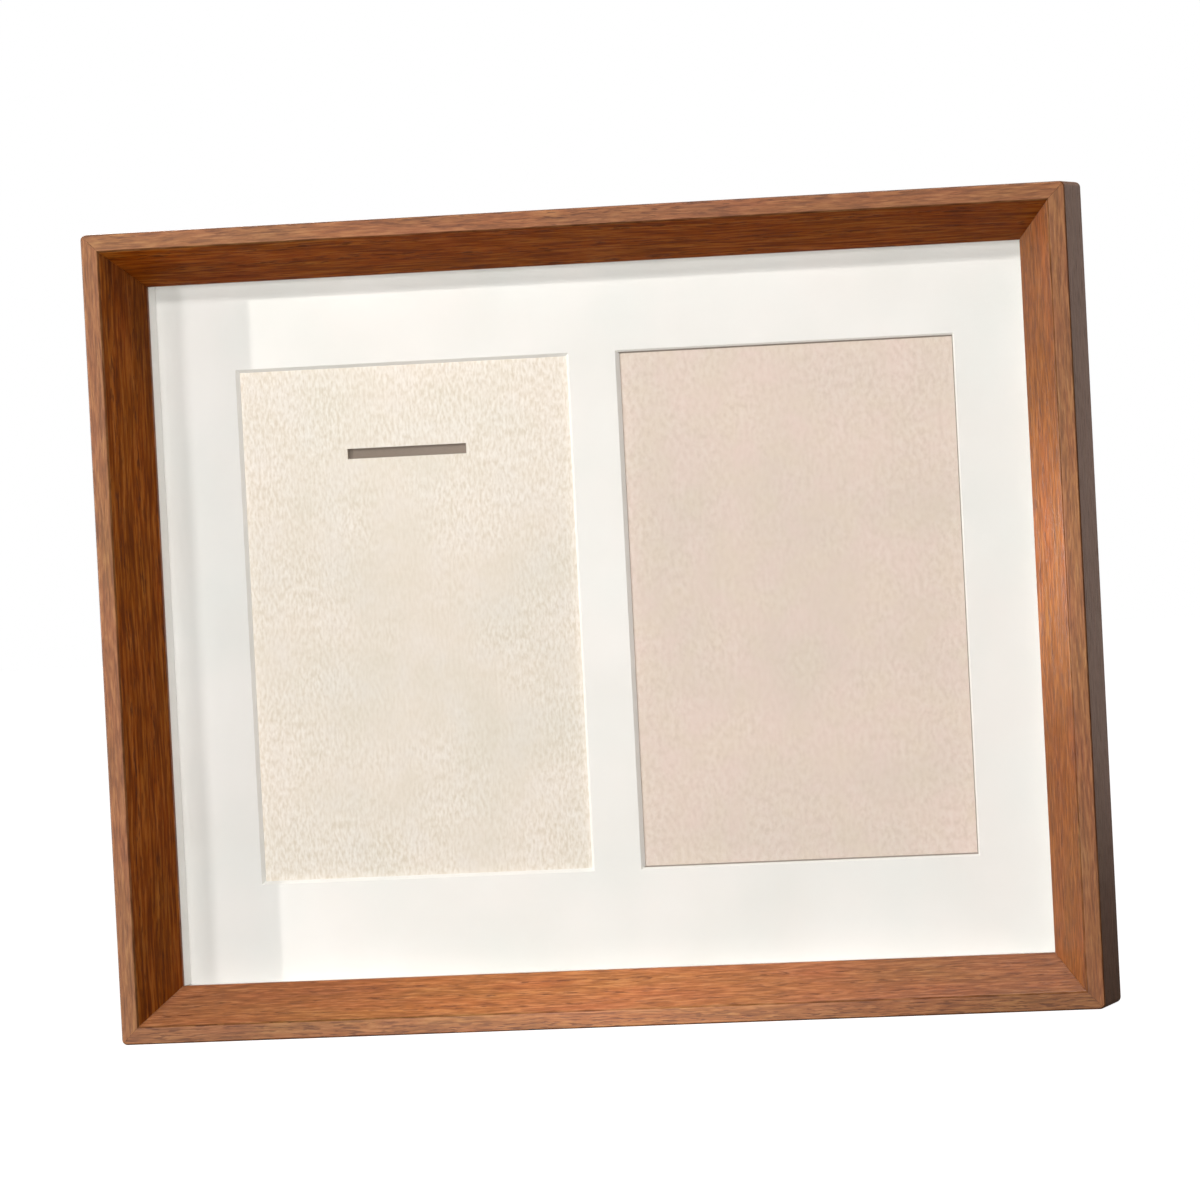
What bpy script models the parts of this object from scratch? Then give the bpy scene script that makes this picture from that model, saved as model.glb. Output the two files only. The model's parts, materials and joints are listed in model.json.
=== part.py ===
"""Medal shadow box for an 8 x 10 inch sheet, in landscape.

The front faces -Y. The box stands on the underside of its bottom rail, and the origin is the
middle of that underside. Left and right are as seen from the front. Sizes are in metres.
"""
import bpy
import bmesh
from math import cos, pi, radians, sin, sqrt, tan
from mathutils import Vector

# Sheets that lie in the rebate, from the front to the back
SHEET_WIDTH = 0.254
SHEET_HEIGHT = 0.203
SHEET_PLAY = 0.0005  # sheet edge to rebate wall
GLAZING_THICK = 0.002
SPACER_DEPTH = 0.0064
MAT_THICK = 0.0014
PANEL_THICK = 0.0012
BACK_THICK = 0.002
SEAT = 0.0003  # gap between pieces that touch

# Rail section, from the outer face inwards and from the front face back
RAIL_FACE = 0.015  # outer face to sight edge
LIP_WIDTH = 0.0048  # flat front
SLOPE_DEPTH = 0.012  # front face to sight edge
SIGHT_LAND = 0.0015  # square edge behind the slope
REBATE_WIDTH = 0.0055  # how far the sight edge reaches over the rebate
ARRIS_RADIUS = 0.0005
ARRIS_STEPS = 3
CORNER_RADIUS = 0.0015  # outer corners of the joined frame
CORNER_FACETS = 3
MITRE_GAP = 0.0001  # glue line between two rails

# V-nails across the mitres, driven in from the back
V_NAIL_MARGIN = 0.0025  # to the outer face and to the rebate wall
V_NAIL_THICK = 0.0006
V_NAIL_DEPTH = 0.008

# Spacers, mat windows and the ribbon slot
SPACER_RECESS = 0.0005  # spacer's inner face behind the sight edge
WINDOW_WIDTH = 0.0925
WINDOW_HEIGHT = 0.1407
WINDOW_BRIDGE = 0.0149  # mat between the two windows
WINDOW_RAISE = 0.0012  # windows above the middle of the sheet
WINDOW_BEVEL = 0.0009  # how far the cut leans back across the mat's thickness
SLOT_LENGTH = 0.0336
SLOT_HEIGHT = 0.0028
SLOT_DROP = 0.0238  # top edge of the window to the middle of the slot

# Turn buttons and the screws that hold them and the hanger
BUTTON_HUB_RADIUS = 0.004
BUTTON_TIP_RADIUS = 0.003
BUTTON_REACH = 0.014  # screw axis to the tip
BUTTON_THICK = 0.001
BUTTON_SPREAD = 0.070  # upper and lower buttons from the middle
SCREW_RADIUS = 0.0013
SCREW_GRIP = 0.009  # length in the wood
HEAD_RADIUS = 0.0027
HEAD_HEIGHT = 0.0015
RECESS_SPAN = 0.003
RECESS_WIDTH = 0.0008
RECESS_DEPTH = 0.0007

# Sawtooth hanger on the top rail
HANGER_LENGTH = 0.046
HANGER_HEIGHT = 0.0075
HANGER_THICK = 0.0008
HANGER_FOOT = 0.0075  # flat end under each screw
HANGER_RAMP = 0.002
HANGER_RISE = 0.0018  # room behind the teeth
TOOTH_PITCH = 0.0022
TOOTH_DEPTH = 0.0012
TOOTH_TRIM = 0.0002  # tooth tips above the lower edge

# Soft pads at the lower corners of the back
BUMPER_RADIUS = 0.0036
BUMPER_HEIGHT = 0.0035
BUMPER_EDGE = 0.0006
BUMPER_INSET = 0.020  # outer side face to the middle of the pad

ROUND_STEPS = 16
PAST = 0.001  # how far a cut runs past the surface it opens

# Worked-out places
RAIL_WALL = RAIL_FACE - REBATE_WIDTH
SHOULDER = SLOPE_DEPTH + SIGHT_LAND
OUTER_WIDTH = SHEET_WIDTH + 2 * (SHEET_PLAY + RAIL_WALL)
OUTER_HEIGHT = SHEET_HEIGHT + 2 * (SHEET_PLAY + RAIL_WALL)
STACK = (GLAZING_THICK, SPACER_DEPTH, MAT_THICK, PANEL_THICK, BACK_THICK)
RAIL_DEPTH = SHOULDER + sum(STACK) + len(STACK) * SEAT
FRONT = -RAIL_DEPTH / 2
REAR = RAIL_DEPTH / 2
MIDDLE = OUTER_HEIGHT / 2
GLAZING_FRONT = FRONT + SHOULDER + SEAT
SPACER_FRONT = GLAZING_FRONT + GLAZING_THICK + SEAT
MAT_FRONT = SPACER_FRONT + SPACER_DEPTH + SEAT
PANEL_FRONT = MAT_FRONT + MAT_THICK + SEAT
BACK_FRONT = PANEL_FRONT + PANEL_THICK + SEAT
ON_REAR = REAR + SEAT  # where fittings on the back of the rails start
WALL_LINE = RAIL_WALL / 2  # fixings run along the middle of the rail's back
WINDOW_OFFSET = (WINDOW_BRIDGE + WINDOW_WIDTH) / 2
WINDOW_MIDDLE = MIDDLE + WINDOW_RAISE
SPACER_WIDTH = REBATE_WIDTH - SHEET_PLAY - SPACER_RECESS
SIDES = {"left": -1, "right": 1}
LEVELS = {"top": 1, "bottom": -1}


def clear_scene():
    for obj in list(bpy.data.objects):
        bpy.data.objects.remove(obj)


def linear(hex_colour):
    channels = [int(hex_colour[i:i + 2], 16) / 255 for i in (1, 3, 5)]
    return [c / 12.92 if c <= 0.04045 else ((c + 0.055) / 1.055) ** 2.4 for c in channels]


def material(name, hex_colour, roughness, metallic=0.0, alpha=1.0):
    made = bpy.data.materials.new(name)
    made.use_nodes = True
    shader = made.node_tree.nodes["Principled BSDF"]
    shader.inputs["Base Color"].default_value = (*linear(hex_colour), 1.0)
    shader.inputs["Roughness"].default_value = roughness
    shader.inputs["Metallic"].default_value = metallic
    shader.inputs["Alpha"].default_value = alpha
    return made


def make_object(name, bm, finish, location=(0, 0, 0), turn=0.0):
    """Turn a mesh in the making into a named object, turned about Y at its location."""
    bmesh.ops.recalc_face_normals(bm, faces=bm.faces)
    mesh = bpy.data.meshes.new(name)
    bm.to_mesh(mesh)
    bm.free()
    mesh.shade_smooth()
    mesh.set_sharp_from_angle(angle=radians(30))
    if finish:
        mesh.materials.append(finish)
    obj = bpy.data.objects.new(name, mesh)
    obj.location = location
    obj.rotation_euler = (0, turn, 0)
    obj.parent = bpy.data.objects["medal_shadow_box"]
    bpy.context.scene.collection.objects.link(obj)
    return obj


def make_cutter(name, bm):
    obj = make_object(name, bm, None)
    obj.hide_render = True
    obj.display_type = "WIRE"
    return obj


def cut(obj, cutter):
    modifier = obj.modifiers.new(cutter.name, "BOOLEAN")
    modifier.operation = "DIFFERENCE"
    modifier.solver = "EXACT"
    modifier.object = cutter


def sweep(bm, loop, travel):
    """Add the solid that a closed loop of points fills as it moves by travel."""
    face = bm.faces.new([bm.verts.new(point) for point in loop])
    grown = bmesh.ops.extrude_face_region(bm, geom=[face])["geom"]
    moved = [item for item in grown if isinstance(item, bmesh.types.BMVert)]
    bmesh.ops.translate(bm, vec=travel, verts=moved)


def upright(bm, outline, start, end):
    """Add the solid of an (x, z) outline between two places along Y."""
    sweep(bm, [(x, start, z) for x, z in outline], (0, end - start, 0))


def rectangle(width, height, x=0.0, z=0.0):
    return [(x + i * width / 2, z + k * height / 2) for i, k in ((-1, -1), (1, -1), (1, 1), (-1, 1))]


def arc(radius, first, last, steps, x=0.0, z=0.0):
    angles = [first + (last - first) * i / steps for i in range(steps + 1)]
    return [(x + radius * cos(a), z + radius * sin(a)) for a in angles]


def circle(radius, x=0.0, z=0.0):
    return arc(radius, 0, 2 * pi, ROUND_STEPS, x, z)[:-1]


def turned(profile):
    """Solid turned about Y from (radius, y) points that start and end on the axis."""
    bm = bmesh.new()
    points = [bm.verts.new((radius, y, 0)) for radius, y in profile]
    edges = [bm.edges.new(pair) for pair in zip(points, points[1:])]
    bmesh.ops.spin(bm, geom=points + edges, axis=(0, 1, 0), angle=2 * pi, steps=ROUND_STEPS)
    bmesh.ops.remove_doubles(bm, verts=bm.verts, dist=1e-6)
    return bm


def slab(name, finish, width, height, front, thick, x=0.0, z=MIDDLE):
    bm = bmesh.new()
    upright(bm, rectangle(width, height), 0, thick)
    return make_object(name, bm, finish, (x, front, z))


def eased(before, corner, after, radius):
    """Round one corner of an outline with an arc."""
    to_before = (Vector(before) - Vector(corner)).normalized()
    to_after = (Vector(after) - Vector(corner)).normalized()
    half = to_before.angle(to_after) / 2
    centre = Vector(corner) + (to_before + to_after).normalized() * radius / sin(half)
    start = (Vector(corner) + to_before * radius / tan(half) - centre).normalized()
    end = (Vector(corner) + to_after * radius / tan(half) - centre).normalized()
    return [centre + radius * start.slerp(end, i / ARRIS_STEPS) for i in range(ARRIS_STEPS + 1)]


def rail_section():
    """Outline of the moulding as (inset from the outer face, depth from the front)."""
    corners = [
        ((0, 0), ARRIS_RADIUS),
        ((LIP_WIDTH, 0), ARRIS_RADIUS),
        ((RAIL_FACE, SLOPE_DEPTH), 0),
        ((RAIL_FACE, SHOULDER), 0),
        ((RAIL_WALL, SHOULDER), 0),
        ((RAIL_WALL, RAIL_DEPTH), 0),
        ((0, RAIL_DEPTH), ARRIS_RADIUS),
    ]
    outline = []
    for i, (corner, radius) in enumerate(corners):
        before = corners[i - 1][0]
        after = corners[(i + 1) % len(corners)][0]
        outline += eased(before, corner, after, radius) if radius else [Vector(corner)]
    return outline


def round_tip(bm, length, side):
    """Take the sharp outer corner off one end of a rail, in flat facets round an arc."""
    centre = Vector((side * (length / 2 - CORNER_RADIUS), 0, -CORNER_RADIUS))
    for facet in range(CORNER_FACETS):
        angle = radians(45) * (facet + 0.5) / CORNER_FACETS
        normal = Vector((side * sin(angle), 0, cos(angle)))
        whole = bm.verts[:] + bm.edges[:] + bm.faces[:]
        bmesh.ops.bisect_plane(
            bm, geom=whole, plane_co=centre + CORNER_RADIUS * normal, plane_no=normal, clear_outer=True)
        bmesh.ops.holes_fill(bm, edges=[edge for edge in bm.edges if edge.is_boundary])


def rail(name, finish, length, location, turn):
    """Mitred rail along X with its outer face up, turned into its place."""
    bm = bmesh.new()
    section = rail_section()
    glue = MITRE_GAP / sqrt(2)
    ends = []
    for side in (-1, 1):
        places = [(side * (length / 2 - inset - glue), depth, -inset) for inset, depth in section]
        ends.append([bm.verts.new(place) for place in places])
        bm.faces.new(ends[-1])
    count = len(section)
    for i in range(count):
        j = (i + 1) % count
        bm.faces.new((ends[0][i], ends[0][j], ends[1][j], ends[1][i]))
    for side in (-1, 1):
        round_tip(bm, length, side)
    return make_object(name, bm, finish, location, turn)


def make_rails(finish, cutters):
    half = OUTER_WIDTH / 2
    rails = [
        rail("frame_rail_top", finish, OUTER_WIDTH, (0, FRONT, OUTER_HEIGHT), 0),
        rail("frame_rail_bottom", finish, OUTER_WIDTH, (0, FRONT, 0), pi),
        rail("frame_rail_left", finish, OUTER_HEIGHT, (-half, FRONT, MIDDLE), -pi / 2),
        rail("frame_rail_right", finish, OUTER_HEIGHT, (half, FRONT, MIDDLE), pi / 2),
    ]
    for each in rails:
        for cutter in cutters:
            cut(each, cutter)


def v_outline(side, level, grow):
    """V across one mitre: its point is towards the rebate, its legs run to the outer faces."""
    point = RAIL_WALL - V_NAIL_MARGIN
    leg = point - V_NAIL_MARGIN + grow
    near = V_NAIL_THICK / 2 + grow
    local = [(-near, -near), (leg, -near), (leg, near), (near, near), (near, leg), (-near, leg)]
    x = side * (OUTER_WIDTH / 2 - point)
    z = MIDDLE + level * (MIDDLE - point)
    return [(x + side * a, z + level * b) for a, b in local]


def make_v_nails(finish):
    slots = bmesh.new()
    for level_name, level in LEVELS.items():
        for side_name, side in SIDES.items():
            nail = bmesh.new()
            upright(nail, v_outline(side, level, 0), REAR - SEAT - V_NAIL_DEPTH, REAR - SEAT)
            make_object(f"corner_v_nail_{level_name}_{side_name}", nail, finish)
            upright(slots, v_outline(side, level, SEAT), REAR - V_NAIL_DEPTH - 2 * SEAT, REAR + PAST)
    return make_cutter("v_nail_slots", slots)


def make_spacers(finish):
    across = (SHEET_HEIGHT - SPACER_WIDTH) / 2
    for name, level in LEVELS.items():
        slab(f"spacer_{name}", finish, SHEET_WIDTH, SPACER_WIDTH, SPACER_FRONT, SPACER_DEPTH,
             z=MIDDLE + level * across)
    between = SHEET_HEIGHT - 2 * (SPACER_WIDTH + SEAT)
    along = (SHEET_WIDTH - SPACER_WIDTH) / 2
    for name, side in SIDES.items():
        slab(f"spacer_{name}", finish, SPACER_WIDTH, between, SPACER_FRONT, SPACER_DEPTH, x=side * along)


def window_cutter():
    """Two tapered blocks that leave the leaning edges of the mat's windows."""
    bm = bmesh.new()
    lean = WINDOW_BEVEL / MAT_THICK
    for side in SIDES.values():
        loops = []
        for y in (MAT_FRONT - PAST, MAT_FRONT + MAT_THICK + PAST):
            grow = 2 * lean * (MAT_FRONT + MAT_THICK - y)
            outline = rectangle(WINDOW_WIDTH + grow, WINDOW_HEIGHT + grow, side * WINDOW_OFFSET, WINDOW_MIDDLE)
            loops.append([bm.verts.new((x, y, z)) for x, z in outline])
            bm.faces.new(loops[-1])
        for i in range(4):
            j = (i + 1) % 4
            bm.faces.new((loops[0][i], loops[0][j], loops[1][j], loops[1][i]))
    return make_cutter("window_cuts", bm)


def make_panels(linen, paper):
    """Medal panel behind the left window, photo panel behind the right one."""
    width = (SHEET_WIDTH - SEAT) / 2
    place = (SHEET_WIDTH - width) / 2
    medal = slab("medal_panel", linen, width, SHEET_HEIGHT, PANEL_FRONT, PANEL_THICK, x=-place)
    slab("photo_panel", paper, width, SHEET_HEIGHT, PANEL_FRONT, PANEL_THICK, x=place)
    slot = bmesh.new()
    level = WINDOW_MIDDLE + WINDOW_HEIGHT / 2 - SLOT_DROP
    outline = rectangle(SLOT_LENGTH, SLOT_HEIGHT, -WINDOW_OFFSET, level)
    upright(slot, outline, PANEL_FRONT - PAST, PANEL_FRONT + PANEL_THICK + PAST)
    cut(medal, make_cutter("ribbon_slot", slot))


def button_places():
    """Each button's name, its screw axis and the turn that points it over the back board."""
    places = {}
    for level_name, level in LEVELS.items():
        for side_name, side in SIDES.items():
            z = MIDDLE + level * (MIDDLE - WALL_LINE)
            places[f"{level_name}_{side_name}"] = (side * BUTTON_SPREAD, z, level * pi / 2)
    for side_name, side in SIDES.items():
        places[side_name] = (side * (OUTER_WIDTH / 2 - WALL_LINE), MIDDLE, pi if side > 0 else 0)
    return places


def hanger_screw_places():
    along = (HANGER_LENGTH - HANGER_FOOT) / 2
    return {name: (side * along, OUTER_HEIGHT - WALL_LINE) for name, side in SIDES.items()}


def screw_holes():
    """Pilot holes in the rails, running on through the buttons and the hanger."""
    bm = bmesh.new()
    axes = [(x, z) for x, z, _ in button_places().values()] + list(hanger_screw_places().values())
    for x, z in axes:
        hole = circle(SCREW_RADIUS + SEAT, x, z)
        upright(bm, hole, REAR - SCREW_GRIP - SEAT, ON_REAR + BUTTON_THICK + HANGER_THICK + PAST)
    return make_cutter("screw_holes", bm)


def button_outline():
    """Plate round the screw that narrows to a round tip along +X."""
    gap = BUTTON_REACH - BUTTON_TIP_RADIUS
    lean = (BUTTON_HUB_RADIUS - BUTTON_TIP_RADIUS) / gap
    spread = pi / 2 - lean
    hub = arc(BUTTON_HUB_RADIUS, spread, 2 * pi - spread, ROUND_STEPS)
    tip = arc(BUTTON_TIP_RADIUS, -spread, spread, ROUND_STEPS // 2, x=gap)
    return hub + tip


def make_buttons(finish, holes):
    for name, (x, z, turn) in button_places().items():
        bm = bmesh.new()
        upright(bm, button_outline(), 0, BUTTON_THICK)
        cut(make_object(f"turn_button_{name}", bm, finish, (x, ON_REAR, z), turn), holes)


def screw(name, finish, x, z, held):
    """Pan-head wood screw with a cross recess, holding a plate of thickness held."""
    under = ON_REAR + held + SEAT
    tip = REAR - SCREW_GRIP - under
    bm = turned([
        (0, tip),
        (SCREW_RADIUS, tip + SCREW_RADIUS),
        (SCREW_RADIUS, 0),
        (HEAD_RADIUS, 0),
        (HEAD_RADIUS, HEAD_HEIGHT / 2),
        (HEAD_RADIUS * cos(radians(30)), HEAD_HEIGHT * 0.8),
        (HEAD_RADIUS / 2, HEAD_HEIGHT),
        (0, HEAD_HEIGHT),
    ])
    made = make_object(name, bm, finish, (x, under, z))
    reach = RECESS_SPAN / 2
    near = RECESS_WIDTH / 2
    quarter = [(near, reach), (near, near), (reach, near)]
    cross = quarter + [(a, -b) for a, b in reversed(quarter)]
    cross += [(-a, -b) for a, b in quarter] + [(-a, b) for a, b in reversed(quarter)]
    recess = bmesh.new()
    top = under + HEAD_HEIGHT
    upright(recess, [(x + a, z + b) for a, b in cross], top - RECESS_DEPTH, top + PAST)
    cut(made, make_cutter(f"recess_{name}", recess))


def make_screws(finish):
    for name, (x, z, _) in button_places().items():
        screw(f"turn_button_screw_{name}", finish, x, z, BUTTON_THICK)
    for name, (x, z) in hanger_screw_places().items():
        screw(f"hanger_screw_{name}", finish, x, z, HANGER_THICK)


def make_hanger(finish, holes):
    """Strip whose raised middle has a toothed lower edge for the wall nail."""
    end = HANGER_LENGTH / 2
    foot = end - HANGER_FOOT
    raised = foot - HANGER_RAMP
    under = [(-end, 0), (-foot, 0), (-raised, HANGER_RISE), (raised, HANGER_RISE), (foot, 0), (end, 0)]
    over = [(x, y + HANGER_THICK) for x, y in reversed(under)]
    low = OUTER_HEIGHT - WALL_LINE - HANGER_HEIGHT / 2
    strip = bmesh.new()
    sweep(strip, [(x, y, 0) for x, y in under + over], (0, 0, HANGER_HEIGHT))
    hanger = make_object("sawtooth_hanger", strip, finish, (0, ON_REAR, low))
    count = int(2 * raised / TOOTH_PITCH)
    first = -count * TOOTH_PITCH / 2
    teeth = [(first, low - PAST), (first, low + TOOTH_TRIM)]
    for i in range(count):
        teeth.append((first + (i + 0.5) * TOOTH_PITCH, low + TOOTH_TRIM + TOOTH_DEPTH))
        teeth.append((first + (i + 1) * TOOTH_PITCH, low + TOOTH_TRIM))
    teeth.append((-first, low - PAST))
    gaps = bmesh.new()
    upright(gaps, teeth, ON_REAR - SEAT / 2, ON_REAR + HANGER_RISE + HANGER_THICK + PAST)
    cut(hanger, make_cutter("tooth_gaps", gaps))
    cut(hanger, holes)


def make_bumpers(finish):
    profile = [
        (0, 0),
        (BUMPER_RADIUS, 0),
        (BUMPER_RADIUS, BUMPER_HEIGHT - BUMPER_EDGE),
        (BUMPER_RADIUS - BUMPER_EDGE, BUMPER_HEIGHT),
        (0, BUMPER_HEIGHT),
    ]
    for name, side in SIDES.items():
        x = side * (OUTER_WIDTH / 2 - BUMPER_INSET)
        make_object(f"wall_bumper_{name}", turned(profile), finish, (x, ON_REAR, WALL_LINE))


def main():
    clear_scene()
    root = bpy.data.objects.new("medal_shadow_box", None)
    bpy.context.scene.collection.objects.link(root)
    wood = material("stained_ash", "#8A4E2C", 0.45)
    card = material("white_card", "#EFEDE7", 0.85)
    steel = material("zinc_plated_steel", "#B9BBBD", 0.35, metallic=1.0)

    slots = make_v_nails(steel)
    holes = screw_holes()
    make_rails(wood, (slots, holes))

    glazing = material("clear_glass", "#F6F8F8", 0.05, alpha=0.2)
    slab("glazing_sheet", glazing, SHEET_WIDTH, SHEET_HEIGHT, GLAZING_FRONT, GLAZING_THICK)
    make_spacers(card)
    mat = slab("mat_board", material("white_mat", "#F1EFEA", 0.9), SHEET_WIDTH, SHEET_HEIGHT, MAT_FRONT, MAT_THICK)
    cut(mat, window_cutter())
    make_panels(material("cream_linen", "#E9DDC8", 0.95), material("beige_paper", "#E0CFBF", 0.9))
    back = material("hardboard", "#7A5A3E", 0.8)
    slab("back_board", back, SHEET_WIDTH, SHEET_HEIGHT, BACK_FRONT, BACK_THICK)

    make_buttons(steel, holes)
    make_screws(steel)
    make_hanger(steel, holes)
    make_bumpers(material("soft_rubber", "#3A3836", 0.7))


main()
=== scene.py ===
import json
import math
import bmesh
import bpy
from mathutils import Matrix, Vector


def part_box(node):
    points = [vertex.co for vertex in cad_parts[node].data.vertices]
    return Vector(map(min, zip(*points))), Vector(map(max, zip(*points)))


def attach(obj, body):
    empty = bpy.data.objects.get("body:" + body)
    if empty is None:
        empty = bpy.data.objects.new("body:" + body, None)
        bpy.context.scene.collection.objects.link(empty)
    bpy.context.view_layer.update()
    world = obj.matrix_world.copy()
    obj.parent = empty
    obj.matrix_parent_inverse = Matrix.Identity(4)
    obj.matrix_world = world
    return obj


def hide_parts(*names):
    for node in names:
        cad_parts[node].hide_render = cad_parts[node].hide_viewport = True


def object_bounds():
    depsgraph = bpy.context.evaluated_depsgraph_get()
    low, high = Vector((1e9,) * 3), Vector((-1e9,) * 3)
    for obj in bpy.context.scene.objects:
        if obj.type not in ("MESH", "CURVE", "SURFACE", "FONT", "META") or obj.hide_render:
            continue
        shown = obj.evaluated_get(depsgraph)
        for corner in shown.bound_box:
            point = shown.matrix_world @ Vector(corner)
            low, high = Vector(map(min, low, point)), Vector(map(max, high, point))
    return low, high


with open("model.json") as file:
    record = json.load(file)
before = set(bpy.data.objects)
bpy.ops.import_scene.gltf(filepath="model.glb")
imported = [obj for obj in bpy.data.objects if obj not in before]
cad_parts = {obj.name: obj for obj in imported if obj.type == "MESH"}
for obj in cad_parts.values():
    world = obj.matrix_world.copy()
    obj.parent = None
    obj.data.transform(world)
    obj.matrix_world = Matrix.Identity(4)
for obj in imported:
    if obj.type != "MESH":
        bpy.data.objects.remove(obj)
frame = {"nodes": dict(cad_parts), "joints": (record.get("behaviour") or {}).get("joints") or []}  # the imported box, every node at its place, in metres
cadLow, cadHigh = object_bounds()
scene = bpy.context.scene
scene.view_settings.view_transform = "Standard"  # plain sRGB, so that white card stays white
middle = Vector((0, 0, (cadLow.z + cadHigh.z) / 2))
joined = 0.0003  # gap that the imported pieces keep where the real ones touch
hair = 0.00002
touching = Vector((0, joined - hair, 0))  # closes that gap, all but a hair
tiny = 1e-5  # nearer than this counts as the same place
weld = 1e-6  # points nearer than this become one
facing = 0.9  # a face looks along an axis if this much of its normal does
parallel = 0.999  # an edge runs along an axis if this much of its way does
smoothAngle = math.radians(30)
mmInMetre = 1000
millimetres = (mmInMetre, mmInMetre, mmInMetre)  # turns metres into millimetres


# Small tools for modelling

def deselectAll():
    if bpy.context.mode != "OBJECT":
        bpy.ops.object.mode_set(mode="OBJECT")
    bpy.ops.object.select_all(action="DESELECT")


def makeActive(obj):
    deselectAll()
    obj.select_set(True)
    bpy.context.view_layer.objects.active = obj


def startEdit(obj):
    makeActive(obj)
    bpy.ops.object.mode_set(mode="EDIT")


def endEdit():
    bpy.ops.object.mode_set(mode="OBJECT")


def keepInMesh():  # the active object's place and turn go into its points
    bpy.ops.object.transform_apply(location=True, rotation=True, scale=True)


def pick(kind, test):
    bpy.ops.mesh.select_mode(type=kind)
    bpy.ops.mesh.select_all(action="DESELECT")
    mesh = bmesh.from_edit_mesh(bpy.context.object.data)
    for item in {"VERT": mesh.verts, "EDGE": mesh.edges, "FACE": mesh.faces}[kind]:
        if test(item):
            item.select_set(True)
    mesh.select_flush_mode()
    bmesh.update_edit_mesh(bpy.context.object.data)


def near(a, b):
    return abs(a - b) < tiny


def cutPlane(point, normal, trim=False):
    bpy.ops.mesh.select_all(action="SELECT")
    bpy.ops.mesh.bisect(plane_co=point, plane_no=normal, use_fill=trim, clear_outer=trim, threshold=weld)


def takePrimitive(name):
    obj = bpy.context.object
    obj.name = name
    obj.data.name = name
    keepInMesh()
    return obj


def addBlock(name, low, high):
    deselectAll()
    low, high = Vector(low), Vector(high)
    bpy.ops.mesh.primitive_cube_add(size=1, location=(low + high) / 2, scale=high - low)
    return takePrimitive(name)


def addRound(name, radius, start, end, x, z, sides):  # a cylinder along Y
    deselectAll()
    bpy.ops.mesh.primitive_cylinder_add(
        vertices=sides, radius=radius, depth=end - start,
        location=(x, (start + end) / 2, z), rotation=(math.radians(90), 0, 0))
    return takePrimitive(name)


def copyPiece(obj, name):
    made = obj.copy()
    made.data = obj.data.copy()
    made.name = name
    made.data.name = name
    scene.collection.objects.link(made)
    return made


def turnAbout(obj, point, angle):  # about Y
    makeActive(obj)
    toPoint, fromPoint = Matrix.Translation(point), Matrix.Translation(-point)
    obj.matrix_world = toPoint @ Matrix.Rotation(angle, 4, "Y") @ fromPoint
    keepInMesh()


def moveTo(obj, x, z):
    makeActive(obj)
    obj.location = (x, 0, z)
    keepInMesh()


def boolean(obj, other, operation="DIFFERENCE"):
    makeActive(obj)
    step = obj.modifiers.new("boolean", "BOOLEAN")
    step.operation = operation
    step.solver = "EXACT"
    step.object = other
    bpy.ops.object.modifier_apply(modifier=step.name)
    bpy.data.objects.remove(other)


def easeEdges(width, steps, test):
    pick("EDGE", test)
    bpy.ops.mesh.bevel(offset=width, segments=steps, affect="EDGES", profile=0.5)


def runsAlong(edge, axis):
    a, b = (v.co for v in edge.verts)
    way = (b - a).normalized()
    return abs(way[axis]) > parallel


def liesAt(edge, y):  # both ends at this depth
    return all(near(v.co.y, y) for v in edge.verts)


def settle(obj, body, slotName, *nodes):
    startEdit(obj)
    bpy.ops.mesh.select_all(action="SELECT")
    bpy.ops.mesh.remove_doubles(threshold=weld)
    bpy.ops.mesh.normals_make_consistent(inside=False)
    endEdit()
    bpy.ops.object.shade_smooth_by_angle(angle=smoothAngle)
    step = obj.modifiers.new("normals", "WEIGHTED_NORMAL")  # flat faces stay flat beside their eased edges
    step.keep_sharp = True
    bpy.ops.object.modifier_apply(modifier=step.name)
    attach(obj, body)
    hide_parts(*nodes)
    return obj


def paint(obj, *materials):
    obj.data.materials.clear()
    for each in materials:
        obj.data.materials.append(each)


# Small tools for materials

def hexLinear(code):  # from sRGB
    channels = [int(code[i:i + 2], 16) / 255 for i in (1, 3, 5)]
    return [c / 12.92 if c <= 0.04045 else ((c + 0.055) / 1.055) ** 2.4 for c in channels] + [1.0]


def addNode(tree, kind, links=None, ramp=None, **settings):
    node = tree.nodes.new("ShaderNode" + kind)
    for name, value in settings.items():
        setattr(node, name, value)
    for socket, value in (links or {}).items():
        if isinstance(value, bpy.types.NodeSocket):
            tree.links.new(value, node.inputs[socket])
        else:
            node.inputs[socket].default_value = value
    for i, (place, colour) in enumerate(ramp or []):
        stops = node.color_ramp.elements
        stop = stops[i] if i < len(stops) else stops.new(place)
        stop.position = place
        stop.color = hexLinear(colour) if isinstance(colour, str) else (colour, colour, colour, 1)
    return node


def newMaterial(name):
    made = bpy.data.materials.new(name)
    made.use_nodes = True
    tree = made.node_tree
    tree.nodes.clear()
    coords = addNode(tree, "TexCoord")
    return made, tree, coords.outputs["Object"]


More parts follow.
